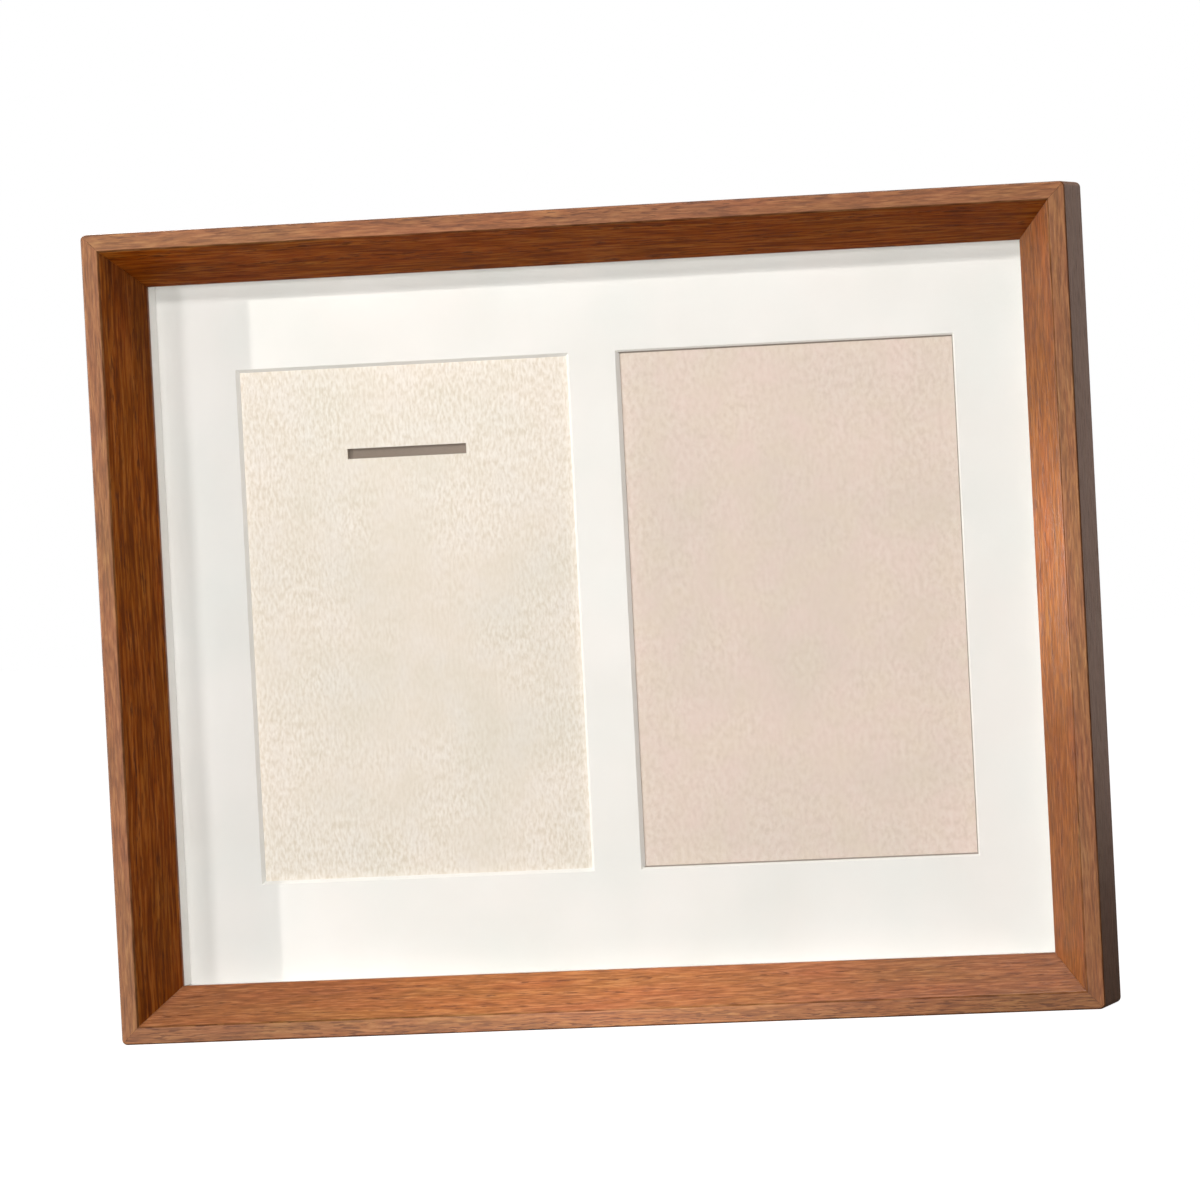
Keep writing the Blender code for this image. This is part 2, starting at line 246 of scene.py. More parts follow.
# Stained ash with a satin lacquer: streaks along the grain, open pores, patches of redder and yellower stain
woodLook = {
    "pore": "#4E2408", "shine": 0.18,
    "drift": (0.016, 0.1, 0.1),  # the grain wanders over about 60 x 10 mm
    "wander": (0, 3.0, 3.0),  # mm, at most
    "streak": (0.13, 1.5, 1.5),  # streaks of about 8 x 0.7 mm
    "pores": (0.22, 2.4, 2.4),  # dashes of about 4.5 x 0.4 mm
    "patch": (0.03, 0.16, 0.16),  # stain patches of about 33 x 6 mm
    "halfRing": 1.9,  # mm, half the width of a growth ring
    "ringLean": (0, 0.97, 0.24),  # the rings lie almost flat behind the lip
    "roughness": (0.36, 0.5), "relief": 0.00015,
}
lipSheenLook = dict(woodLook, dark="#7E4D2B", mid="#945C33", light="#A77043", pore="#613823", shine=0.5,
               roughness=(0.55, 0.65))  # paler colour is painted sheen; the rougher finish is duller
sideLook = dict(woodLook, dark="#5F3A22", mid="#74492B", light="#875C3B", pore="#45281A")  # one duller coat
arrisLook = dict(sideLook, shine=0.02, roughness=(0.85, 0.9))  # darker and duller than lip and slope, where they meet
railSheenShadeAndGrain = {  # each rail's colours are one stain shifted for how light falls on it: painted sheen on the paler bottom and right rails, painted shade on the deeper top and left ones; their longer streaks are grain
    "rail_top": {"dark": "#6C2E06", "mid": "#884006", "light": "#A05A1F", "streak": (0.06, 1.3, 1.3)},
    "rail_bottom": {"dark": "#6E3E1E", "mid": "#824C25", "light": "#955F38"},
    "rail_left": {"dark": "#683006", "mid": "#884306", "light": "#A66022", "streak": (0.06, 1.3, 1.3)},
    "rail_right": {"dark": "#6D3A11", "mid": "#814616", "light": "#945928"},
}


def stainedAsh(name, turn, shift, look):
    made, tree, place = newMaterial(name)
    grain = addNode(tree, "Mapping", {  # mm, with X along the grain
        "Vector": place, "Location": shift, "Rotation": (0, turn, 0), "Scale": millimetres})
    slow = addNode(tree, "VectorMath", {0: grain.outputs[0], 1: look["drift"]}, operation="MULTIPLY")
    drift = addNode(tree, "TexNoise", {"Vector": slow.outputs[0], "Scale": 1.0, "Detail": 3.0})
    warped = addNode(tree, "VectorMath", {
        0: drift.outputs["Color"], 1: look["wander"], 2: grain.outputs[0]}, operation="MULTIPLY_ADD")
    along = addNode(tree, "VectorMath", {0: warped.outputs[0], 1: look["streak"]}, operation="MULTIPLY")
    streak = addNode(tree, "TexNoise", {
        "Vector": along.outputs[0], "Scale": 1.0, "Detail": 4.0, "Roughness": 0.6})
    colour = addNode(tree, "ValToRGB", {0: streak.outputs[0]}, ramp=[
        (0.36, look["dark"]), (0.50, look["mid"]), (0.64, look["light"])])
    lean = Vector(look["ringLean"]) / look["halfRing"]
    phase = addNode(tree, "VectorMath", {0: warped.outputs[0], 1: lean}, operation="DOT_PRODUCT")
    ring = addNode(tree, "Math", {0: phase.outputs["Value"], 1: 1.0}, operation="PINGPONG")
    early = addNode(tree, "MapRange", {0: ring.outputs[0], 1: 0.0, 2: 0.55, 3: 1.0, 4: 0.45},
                    interpolation_type="SMOOTHSTEP")
    opened = addNode(tree, "VectorMath", {0: warped.outputs[0], 1: look["pores"]}, operation="MULTIPLY")
    poreNoise = addNode(tree, "TexNoise", {"Vector": opened.outputs[0], "Scale": 1.0, "Detail": 2.0})
    pores = addNode(tree, "MapRange", {0: poreNoise.outputs[0], 1: 0.52, 2: 0.64, 3: 0.0, 4: 0.8},
                    interpolation_type="SMOOTHSTEP")
    poreMask = addNode(tree, "Math", {0: pores.outputs[0], 1: early.outputs[0]}, operation="MULTIPLY")
    cloudy = addNode(tree, "VectorMath", {0: grain.outputs[0], 1: look["patch"]}, operation="MULTIPLY")
    patch = addNode(tree, "TexNoise", {"Vector": cloudy.outputs[0], "Scale": 1.0, "Detail": 3.0})
    stained = addNode(tree, "Mix", {0: 0.2, 6: colour.outputs[0], 7: patch.outputs["Color"]},
                      data_type="RGBA", blend_type="SOFT_LIGHT")
    final = addNode(tree, "Mix", {0: poreMask.outputs[0], 6: stained.outputs[2], 7: hexLinear(look["pore"])},
                    data_type="RGBA")
    rough = addNode(tree, "MapRange", {
        0: poreMask.outputs[0], 1: 0.0, 2: 1.0, 3: look["roughness"][0], 4: look["roughness"][1]})
    height = addNode(tree, "Math", {
        0: poreMask.outputs[0], 1: -1.0, 2: streak.outputs[0]}, operation="MULTIPLY_ADD")
    bump = addNode(tree, "Bump", {"Height": height.outputs[0], "Strength": 0.3, "Distance": look["relief"]})
    shader = addNode(tree, "BsdfPrincipled", {
        "Base Color": final.outputs[2], "Roughness": rough.outputs[0], "Normal": bump.outputs[0],
        "Specular IOR Level": look["shine"]})
    addNode(tree, "OutputMaterial", {0: shader.outputs[0]})
    return made


# Card and paper: smooth and uncoated, with a faint pulp grain and hardly any shine
matLook = {"paper": "#F3F2EF", "shade": "#EDEBE7", "grain": 0.6, "relief": 0.00004}  # grain in mm
coreLook = {"paper": "#FAF9F6", "shade": "#F3F2EF", "grain": 0.3, "relief": 0.00008}
cutShadeLook = dict(coreLook, paper="#9C938A", shade="#9C938A")  # painted shade: a grey band at the foot of the right window's cut, for the shadow line around its panel
spacerLook = {"paper": "#FDFCFA", "shade": "#FAF8F5", "grain": 0.5, "relief": 0.00004}
linerLook = {"paper": "#8F8277", "shade": "#84776C", "grain": 1.2, "relief": 0.00004}  # on the back board
cloudSize = 0.035  # metres, broad patches of tone in all of them


def paperBoard(name, look):
    made, tree, place = newMaterial(name)
    broad = addNode(tree, "TexNoise", {"Vector": place, "Scale": 1 / cloudSize, "Detail": 2.0})
    pulp = addNode(tree, "TexNoise", {"Vector": place, "Scale": mmInMetre / look["grain"], "Detail": 3.0})
    both = addNode(tree, "Math", {0: pulp.outputs[0], 1: 0.4, 2: broad.outputs[0]}, operation="MULTIPLY_ADD")
    colour = addNode(tree, "ValToRGB", {0: both.outputs[0]}, ramp=[
        (0.45, look["shade"]), (0.95, look["paper"])])
    bump = addNode(tree, "Bump", {"Height": pulp.outputs[0], "Strength": 0.1, "Distance": look["relief"]})
    rough = addNode(tree, "MapRange", {0: pulp.outputs[0], 1: 0.3, 2: 0.7, 3: 0.82, 4: 0.95})
    shader = addNode(tree, "BsdfPrincipled", {
        "Base Color": colour.outputs[0], "Roughness": rough.outputs[0], "Normal": bump.outputs[0],
        "Specular IOR Level": 0.3})
    addNode(tree, "OutputMaterial", {0: shader.outputs[0]})
    return made


# Woven facing on board: upright slubs catch the light in short flecks, pressed smoother towards the middle
linenLook = {
    "ground": "#E5DBCE", "slub": "#F4EEE6", "dark": "#D5C8B5", "patchA": "#E6DDD2", "patchB": "#E3D9CB",
    "fleck": (1.3, 0.2, 0.5), "contrast": 0.68,  # flecks to the mm
    "calm": 16.0, "worn": (1.1, 1.8),  # calm patches in mm, and where the flecks grow to full strength
    "centre": (-53.7, 0, 105), "half": (46, 1e6, 70),  # smooth middle, in mm
}
paperLook = {
    "ground": "#E0CFC2", "slub": "#EBDFD5", "dark": "#D0BEB0", "patchA": "#E2CFC4", "patchB": "#E0D0C1",
    "fleck": (0.8, 0.2, 0.5), "contrast": 0.46,
    "calm": 12.0, "worn": (0.8, 1.5),
    "centre": (53.7, 0, 112), "half": (90, 1e6, 140),
}
weave = {
    "patch": 10.0, "thread": 2.6,  # patches in mm, threads to the mm
    "relief": 0.0001, "calmest": 0.3,  # share of the contrast that calm patches keep
}


def wovenFace(name, look):
    made, tree, place = newMaterial(name)
    cloth = addNode(tree, "Mapping", {"Vector": place, "Scale": millimetres})
    patches = addNode(tree, "TexNoise", {
        "Vector": cloth.outputs[0], "Scale": 1 / weave["patch"], "Detail": 2.0})
    ground = addNode(tree, "ValToRGB", {0: patches.outputs[0]}, ramp=[
        (0.36, look["patchB"]), (0.5, look["ground"]), (0.66, look["patchA"])])
    calm = addNode(tree, "TexNoise", {"Vector": cloth.outputs[0], "Scale": 1 / look["calm"], "Detail": 1.0})
    offset = addNode(tree, "VectorMath", {0: cloth.outputs[0], 1: look["centre"]}, operation="SUBTRACT")
    scaled = addNode(tree, "VectorMath", {0: offset.outputs[0], 1: look["half"]}, operation="DIVIDE")
    out = addNode(tree, "VectorMath", {0: scaled.outputs[0]}, operation="LENGTH")  # from the smooth middle
    worn = addNode(tree, "Math", {
        0: calm.outputs[0], 1: 1.6, 2: out.outputs["Value"]}, operation="MULTIPLY_ADD")
    share = addNode(tree, "MapRange", {
        0: worn.outputs[0], 1: look["worn"][0], 2: look["worn"][1],
        3: weave["calmest"] * look["contrast"], 4: look["contrast"]})
    stretched = addNode(tree, "VectorMath", {0: cloth.outputs[0], 1: look["fleck"]}, operation="MULTIPLY")
    fleck = addNode(tree, "TexNoise", {
        "Vector": stretched.outputs[0], "Scale": 1.0, "Detail": 3.0, "Roughness": 0.62})
    bright = addNode(tree, "MapRange", {0: fleck.outputs[0], 1: 0.46, 2: 0.64, 3: 0.0, 4: share.outputs[0]})
    dull = addNode(tree, "MapRange", {0: fleck.outputs[0], 1: 0.48, 2: 0.32, 3: 0.0, 4: share.outputs[0]})
    lighter = addNode(tree, "Mix", {0: bright.outputs[0], 6: ground.outputs[0], 7: hexLinear(look["slub"])},
                      data_type="RGBA")
    flecked = addNode(tree, "Mix", {0: dull.outputs[0], 6: lighter.outputs[2], 7: hexLinear(look["dark"])},
                      data_type="RGBA")
    threads = addNode(tree, "TexNoise", {
        "Vector": cloth.outputs[0], "Scale": weave["thread"], "Detail": 2.0})
    relief = addNode(tree, "Math", {
        0: fleck.outputs[0], 1: 2.5, 2: threads.outputs[0]}, operation="MULTIPLY_ADD")
    bump = addNode(tree, "Bump", {
        "Height": relief.outputs[0], "Strength": 0.12, "Distance": weave["relief"]})
    rough = addNode(tree, "MapRange", {0: fleck.outputs[0], 1: 0.3, 2: 0.7, 3: 0.95, 4: 0.8})
    shader = addNode(tree, "BsdfPrincipled", {
        "Base Color": flecked.outputs[2], "Roughness": rough.outputs[0], "Normal": bump.outputs[0],
        "Specular IOR Level": 0.25, "Sheen Weight": 0.08})
    addNode(tree, "OutputMaterial", {0: shader.outputs[0]})
    return made


# Clear float glass: almost all light passes, and a thin gloss shows faint wiping marks
glassLook = {"clear": "#FFFFFF", "wiped": "#FDFEFE", "mark": 30.0, "mirror": 0.04}  # marks in mm


def clearGlass(name):
    made, tree, place = newMaterial(name)
    wipes = addNode(tree, "TexNoise", {
        "Vector": place, "Scale": mmInMetre / glassLook["mark"], "Detail": 4.0})
    tint = addNode(tree, "ValToRGB", {0: wipes.outputs[0]}, ramp=[
        (0.3, glassLook["wiped"]), (0.6, glassLook["clear"])])
    haze = addNode(tree, "MapRange", {0: wipes.outputs[0], 1: 0.3, 2: 0.7, 3: 0.02, 4: 0.06})
    gloss = addNode(tree, "BsdfAnisotropic", {"Roughness": haze.outputs[0]})
    clear = addNode(tree, "BsdfTransparent", {"Color": tint.outputs[0]})
    angle = addNode(tree, "LayerWeight", {"Blend": 0.5})
    steep = addNode(tree, "Math", {0: angle.outputs["Facing"], 1: 5.0}, operation="POWER")
    share = addNode(tree, "MapRange", {  # the same on both faces
        0: steep.outputs[0], 1: 0.0, 2: 1.0, 3: glassLook["mirror"], 4: 1.0})
    both = addNode(tree, "MixShader", {0: share.outputs[0], 1: clear.outputs[0], 2: gloss.outputs[0]})
    addNode(tree, "OutputMaterial", {0: both.outputs[0]})
    return made


# Tempered hardboard: pressed brown fibre, with the print of the press screen on its back
hardboardLook = {
    "fibre": "#7C5B3E", "dark": "#5C4029", "light": "#93714F", "relief": 0.00015,
    "fibres": 0.9,  # to the mm
    "cloud": 40.0, "screen": 1.1,  # mm
}


def pressedHardboard(name):
    look = hardboardLook
    made, tree, place = newMaterial(name)
    board = addNode(tree, "Mapping", {"Vector": place, "Scale": millimetres})
    fibres = addNode(tree, "TexNoise", {
        "Vector": board.outputs[0], "Scale": look["fibres"],
        "Detail": 6.0, "Roughness": 0.7, "Distortion": 0.8})
    broad = addNode(tree, "TexNoise", {
        "Vector": board.outputs[0], "Scale": 1 / look["cloud"], "Detail": 2.0})
    mixed = addNode(tree, "Math", {
        0: broad.outputs[0], 1: 0.5, 2: fibres.outputs[0]}, operation="MULTIPLY_ADD")
    colour = addNode(tree, "ValToRGB", {0: mixed.outputs[0]}, ramp=[
        (0.5, look["dark"]), (0.75, look["fibre"]), (1.0, look["light"])])
    pitch = math.pi / look["screen"] / 10  # the wave node counts twenty radians to the unit
    across = addNode(tree, "TexWave", {"Vector": board.outputs[0], "Scale": pitch}, bands_direction="X")
    along = addNode(tree, "TexWave", {"Vector": board.outputs[0], "Scale": pitch}, bands_direction="Z")
    screen = addNode(tree, "Math", {0: across.outputs[1], 1: along.outputs[1]}, operation="MAXIMUM")
    height = addNode(tree, "Math", {
        0: fibres.outputs[0], 1: 0.6, 2: screen.outputs[0]}, operation="MULTIPLY_ADD")
    bump = addNode(tree, "Bump", {"Height": height.outputs[0], "Strength": 0.5, "Distance": look["relief"]})
    rough = addNode(tree, "MapRange", {0: fibres.outputs[0], 1: 0.3, 2: 0.7, 3: 0.65, 4: 0.85})
    shader = addNode(tree, "BsdfPrincipled", {
        "Base Color": colour.outputs[0], "Roughness": rough.outputs[0], "Normal": bump.outputs[0]})
    addNode(tree, "OutputMaterial", {0: shader.outputs[0]})
    return made


# Zinc-plated pressed steel: bluish bright metal, with faint spangle and handling marks
zincLook = {
    "bright": "#D3D5D8", "dull": "#A9ACB1", "roughness": (0.24, 0.42), "relief": 0.00005,
    "spangle": 2.2, "mark": 1.2,  # mm
}


def zincPlate(name):
    look = zincLook
    made, tree, place = newMaterial(name)
    crystals = addNode(tree, "TexVoronoi", {"Vector": place, "Scale": mmInMetre / look["spangle"]})
    marks = addNode(tree, "TexNoise", {"Vector": place, "Scale": mmInMetre / look["mark"], "Detail": 4.0})
    mixed = addNode(tree, "Math", {0: crystals.outputs["Color"], 1: 0.5, 2: marks.outputs[0]},
                    operation="MULTIPLY_ADD")
    colour = addNode(tree, "ValToRGB", {0: mixed.outputs[0]}, ramp=[
        (0.4, look["dull"]), (0.9, look["bright"])])
    rough = addNode(tree, "MapRange", {
        0: marks.outputs[0], 1: 0.3, 2: 0.7, 3: look["roughness"][0], 4: look["roughness"][1]})
    bump = addNode(tree, "Bump", {"Height": marks.outputs[0], "Strength": 0.12, "Distance": look["relief"]})
    shader = addNode(tree, "BsdfPrincipled", {
        "Base Color": colour.outputs[0], "Metallic": 1.0,
        "Roughness": rough.outputs[0], "Normal": bump.outputs[0]})
    addNode(tree, "OutputMaterial", {0: shader.outputs[0]})
    return made


# Moulded rubber: dark, matte, with a fine bloom
rubberLook = {"body": "#33302E", "bloom": "#4A4643", "grit": 0.35, "relief": 0.00005}  # grit in mm


def mouldedRubber(name):
    look = rubberLook
    made, tree, place = newMaterial(name)
    grit = addNode(tree, "TexNoise", {"Vector": place, "Scale": mmInMetre / look["grit"], "Detail": 3.0})
    colour = addNode(tree, "ValToRGB", {0: grit.outputs[0]}, ramp=[
        (0.35, look["body"]), (0.8, look["bloom"])])
    rough = addNode(tree, "MapRange", {0: grit.outputs[0], 1: 0.3, 2: 0.7, 3: 0.6, 4: 0.8})
    bump = addNode(tree, "Bump", {"Height": grit.outputs[0], "Strength": 0.2, "Distance": look["relief"]})
    shader = addNode(tree, "BsdfPrincipled", {
        "Base Color": colour.outputs[0], "Roughness": rough.outputs[0], "Normal": bump.outputs[0]})
    addNode(tree, "OutputMaterial", {0: shader.outputs[0]})
    return made


matPaper = paperBoard("white mat paper, uncoated", matLook)
matCore = paperBoard("white mat core, knife cut", coreLook)
# grey band of painted shade for the right window's cut
matCutShade = paperBoard("grey mat lining, knife cut", cutShadeLook)
foamBoard = paperBoard("white foam board, cut edge", spacerLook)
liner = paperBoard("greyish lining paper", linerLook)
linen = wovenFace("cream linen on board", linenLook)
beige = wovenFace("pinkish beige laid paper", paperLook)
glass = clearGlass("clear float glass")
hardboard = pressedHardboard("tempered hardboard, screen back")
zinc = zincPlate("zinc-plated pressed steel")
rubber = mouldedRubber("moulded rubber, matte")
print("materials made")


# Rails: a block with a tongue over the rebate, its front inner corner cut to a slope, mitred at both ends
railShape = {
    "lip": 0.0048, "slopeDepth": 0.012, "land": 0.0015, "rebate": 0.0055,
    "arris": 0.0005, "lipArris": 0.00015, "rearArris": 0.0015, "sightArris": 0.0002,
    "cornerRadius": 0.0015, "cornerFacets": 8, "glueLine": 0.00005,
    "pilot": 0.0016, "pilotFacets": 16,  # screw holes
    "grainShift": (170, 40, 0),  # mm, so that the upright rails don't repeat the level ones
    "nearFront": 0.0003, "pastLip": 0.002,  # the lip is nearer the front, its inner arris further in
    "flat": -0.98, "turning": -0.68, "outer": 0.1,  # normals of the lip, that arris, and the sides or back
}


def makeRail(name, length, reach):  # along X, outer face up, as far from the middle as reach
    shape = railShape
    low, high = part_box("frame_rail_top")
    face = high.z - low.z
    top = middle.z + reach
    half = length / 2
    wall = face - shape["rebate"]
    shoulder = low.y + shape["slopeDepth"] + shape["land"]
    rail = addBlock(name, (-half, low.y, top - wall), (half, high.y, top))
    startEdit(rail)
    cutPlane((0, shoulder, 0), (0, 1, 0))
    pick("FACE", lambda f: f.normal.z < -facing and f.calc_center_median().y < shoulder)
    bpy.ops.mesh.extrude_region_move(TRANSFORM_OT_translate={"value": (0, 0, -shape["rebate"])})
    slope = Vector((0, -(face - shape["lip"]), -shape["slopeDepth"]))
    cutPlane((0, low.y, top - shape["lip"]), slope, trim=True)
    sight = low.y + shape["slopeDepth"]
    easeEdges(shape["cornerRadius"], steps=shape["cornerFacets"], test=lambda e: runsAlong(e, 1)
              and near(abs(e.verts[0].co.x), half) and near(e.verts[0].co.z, top))

    def onOutline(edge, y):  # the outer edges of the front or rear face, ends and rounded corners too
        ends = [v.co for v in edge.verts]
        beyond = all(near(abs(c.x), half) or c.z > top - shape["cornerRadius"] - tiny for c in ends)
        return beyond and liesAt(edge, y)

    easeEdges(shape["arris"], steps=4, test=lambda e: onOutline(e, low.y))
    easeEdges(shape["lipArris"], steps=2, test=lambda e: runsAlong(e, 0) and near(e.verts[0].co.y, low.y)
              and near(e.verts[0].co.z, top - shape["lip"]))
    easeEdges(shape["rearArris"], steps=4, test=lambda e: onOutline(e, high.y))
    easeEdges(shape["sightArris"], steps=2, test=lambda e: runsAlong(e, 0) and near(e.verts[0].co.y, sight)
              and near(e.verts[0].co.z, top - face))
    for side in (-1, 1):  # mitres, half a glue line short of the corner
        cutPlane((side * (half - shape["glueLine"] / math.sqrt(2)), 0, top), (side, 0, -1), trim=True)
    endEdit()
    return rail


# V-nails: bent steel strips across the back of each mitre, in slots of their own
nailShape = {"thick": 0.0006, "arris": 0.0001, "slotRoom": 0.0003}


def nailLegs(name, node, grow):  # the two legs of a V-nail, joined at the point towards the rebate
    low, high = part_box(node)
    half = nailShape["thick"] / 2
    x = high.x - half if high.x < 0 else low.x + half
    z = high.z - half if low.z < middle.z else low.z + half
    start, end = low.y - grow, high.y + grow * 2
    reach = half + grow
    one = addBlock(name, (low.x - grow, start, z - reach), (high.x + grow, end, z + reach))
    other = addBlock(name + "_leg", (x - reach, start, low.z - grow), (x + reach, end, high.z + grow))
    boolean(one, other, "UNION")
    return one


fittings = []  # metal and rubber pieces on the back
nails = [n for n in frame["nodes"] if n.startswith("corner_v_nail")]
screws = [n for n in frame["nodes"] if "screw" in n]


def boreRail(rail):  # V-nail slots and pilot holes, as far as they reach this rail
    low = [min(v.co[i] for v in rail.data.vertices) for i in range(3)]
    high = [max(v.co[i] for v in rail.data.vertices) for i in range(3)]
    for node in nails + screws:
        nodeLow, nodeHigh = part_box(node)
        if any(nodeHigh[i] < low[i] or nodeLow[i] > high[i] for i in (0, 2)):
            continue
        if node in nails:
            cutter = nailLegs("slot", node, nailShape["slotRoom"])
        else:
            centre = (nodeLow + nodeHigh) / 2
            cutter = addRound("hole", railShape["pilot"], nodeLow.y - joined, nodeHigh.y,
                              centre.x, centre.z, railShape["pilotFacets"])
        boolean(rail, cutter)


def railFinish(face, outward, outer):  # number of the face's material
    depth = outer - (face.center - middle).dot(outward)  # in from the outer side
    ahead = face.center.y < cadLow.y + railShape["nearFront"]
    if ahead and face.normal.y < railShape["flat"]:
        return 1  # lip
    if ahead and depth > railShape["pastLip"] and face.normal.y < railShape["turning"]:
        return 3  # inner arris of the lip
    if max(face.normal.dot(outward), face.normal.y) > railShape["outer"]:
        return 2  # sides and back
    return 0  # slope, and what is hidden


width = cadHigh.x - cadLow.x
height = cadHigh.z - cadLow.z
railTop = makeRail("rail_top", width, height / 2)
railBottom = copyPiece(railTop, "rail_bottom")
turnAbout(railBottom, middle, math.pi)
railLeft = makeRail("rail_left", height, width / 2)
railRight = copyPiece(railLeft, "rail_right")
turnAbout(railLeft, middle, -math.pi / 2)
turnAbout(railRight, middle, math.pi / 2)
level = (0, (0, 0, 0))  # turn and shift of the grain
upright = (math.radians(90), railShape["grainShift"])
rails = {  # the way each one faces, half the frame's size that way, and its grain
    railTop: (Vector((0, 0, 1)), height / 2, level),
    railBottom: (Vector((0, 0, -1)), height / 2, level),
    railLeft: (Vector((-1, 0, 0)), width / 2, upright),
    railRight: (Vector((1, 0, 0)), width / 2, upright),
}
for rail, (outward, outer, grain) in rails.items():
    boreRail(rail)
    # the slope colours carry this rail's painted sheen and shade
    slopeLook = dict(woodLook, **railSheenShadeAndGrain[rail.name])
    looks = {"slope": slopeLook, "rubbed lip": lipSheenLook, "sides": sideLook, "bare arris": arrisLook}
    label = " of " + rail.name.replace("_", " ")
    paint(rail, *(stainedAsh("stained ash, " + part + label, *grain, look) for part, look in looks.items()))
    for face in rail.data.polygons:
        face.material_index = railFinish(face, outward, outer)
    settle(rail, "box", "stained_wood", "frame_" + rail.name)
print("rails made")

for node in nails:
    nail = nailLegs(node.replace("corner_", ""), node, 0)
    startEdit(nail)
    easeEdges(nailShape["arris"], steps=1, test=lambda e: runsAlong(e, 1))
    endEdit()
    paint(nail, zinc)
    fittings.append(settle(nail, "box", "zinc_steel", node))
print("V-nails made")


# Glazing: a cut sheet with its arrises taken off
glazingShape = {"arris": 0.0003}
low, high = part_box("glazing_sheet")
glazing = addBlock("glazing", low, high)
startEdit(glazing)
easeEdges(glazingShape["arris"], steps=2, test=lambda e: True)
endEdit()
paint(glazing, glass)
settle(glazing, "box", "clear_glass", "glazing_sheet")
print("glazing made")


# Spacers: white strips on edge, pressed between the glazing and the mat
spacerShape = {"arris": 0.0001}
strips = []
for side in ("top", "bottom", "left", "right"):
    low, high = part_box("spacer_" + side)
    low, high = low - touching, high + touching
    strip = addBlock("spacer_strip_" + side, low, high)
    startEdit(strip)
    easeEdges(spacerShape["arris"], steps=2, test=lambda e: liesAt(e, low.y))
    endEdit()
    paint(strip, foamBoard)
    strips.append(settle(strip, "box", "white_card", "spacer_" + side))
print("spacers made")


# Mat: a board with two windows, whose cut leans in and shows the core, and in the right one a grey band of
# painted shade at the foot of the cut
matShape = {
    "width": 0.0925, "height": 0.1407, "bridge": 0.0149, "raise": 0.0012,
    # lining is how far the grey band of painted shade reaches in from the back of the cut
    "lean": 0.0009, "arris": 0.00008, "lining": 0.0006,
    "cutLean": 0.05, "leftCut": 0.1,  # least of a normal forwards in the cut, to the right on a left edge
}
windowX = (matShape["bridge"] + matShape["width"]) / 2
windowZ = middle.z + matShape["raise"]


def openHole(low, high, x, z, wide, tall):  # cuts a rectangle right through the block in edit mode
    left, right, foot, head = x - wide / 2, x + wide / 2, z - tall / 2, z + tall / 2
    for edge in (left, right):
        cutPlane((edge, 0, 0), (1, 0, 0))
    for edge in (foot, head):
        cutPlane((0, 0, edge), (0, 0, 1))

    def inside(face):
        at = face.calc_center_median()
        return abs(face.normal.y) > facing and left < at.x < right and foot < at.z < head

    def onRim(edge):
        a, b = edge.verts
        at = (a.co + b.co) / 2
        flat = near(a.co.y, b.co.y) and (near(a.co.y, low.y) or near(a.co.y, high.y))
        upright = near(at.x, left) or near(at.x, right)
        level = near(at.z, foot) or near(at.z, head)
        return flat and (upright and foot < at.z < head or level and left < at.x < right)

    pick("FACE", inside)
    bpy.ops.mesh.delete(type="FACE")
    pick("EDGE", onRim)
    bpy.ops.mesh.bridge_edge_loops()


low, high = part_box("mat_board")
mat = addBlock("mat", low, high)
startEdit(mat)
openWide = matShape["width"] + 2 * matShape["lean"]
openTall = matShape["height"] + 2 * matShape["lean"]


def onWindow(v):  # inside either window's front outline, or on it
    dx, dz = abs(abs(v.co.x) - windowX), abs(v.co.z - windowZ)
    return dx < openWide / 2 + tiny and dz < openTall / 2 + tiny


for side in (-1, 1):
    openHole(low, high, side * windowX, windowZ, openWide, openTall)
for side in (-1, 1):
    centre = Vector((side * windowX, high.y, windowZ))
    pick("VERT", lambda v: near(v.co.y, high.y) and v.co.x * side > 0 and onWindow(v))
    bpy.ops.transform.resize(
        value=(matShape["width"] / openWide, 1, matShape["height"] / openTall), center_override=centre)
# the back part of the cut, this deep, gets the painted shade
shadeBandStart = high.y - matShape["lining"]
cutPlane((0, shadeBandStart, 0), (0, 1, 0))
easeEdges(matShape["arris"], steps=2, test=lambda e: liesAt(e, low.y) and all(onWindow(v) for v in e.verts)
          and any(near(abs(abs(v.co.x) - windowX), openWide / 2) for v in e.verts))
endEdit()
paint(mat, matPaper, matCore, matCutShade)
for face in mat.data.polygons:
    inCut = matShape["cutLean"] < -face.normal.y < facing
    shadedSide = face.center.x > 0 and face.normal.x < matShape["leftCut"]  # right window, all but its left edge, where the painted shade goes
    if inCut:
        face.material_index = 2 if shadedSide and face.center.y > shadeBandStart else 1
settle(mat, "box", "white_mat", "mat_board")
print("mat made")


# Panels behind the windows: faced boards, the left one with the ribbon slot
panelShape = {"arris": 0.00015, "slotLong": 0.0336, "slotHigh": 0.0028, "slotDrop": 0.0238}
panels = []
for node, name, face, slotName in (("medal_panel", "panel_medal", linen, "cream_linen"),
                                   ("photo_panel", "panel_photo", beige, "beige_paper")):
    low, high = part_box(node)
    if node == "medal_panel":
        low -= touching  # the linen is pressed against the mat, the photo panel has a little room
    panel = addBlock(name, low, high)
    startEdit(panel)
    easeEdges(panelShape["arris"], steps=2, test=lambda e: True)
    if node == "medal_panel":
        slotZ = windowZ + matShape["height"] / 2 - panelShape["slotDrop"]
        openHole(low, high, -windowX, slotZ, panelShape["slotLong"], panelShape["slotHigh"])
    endEdit()
    paint(panel, face)
    panels.append(settle(panel, "box", slotName, node))
print("panels made")


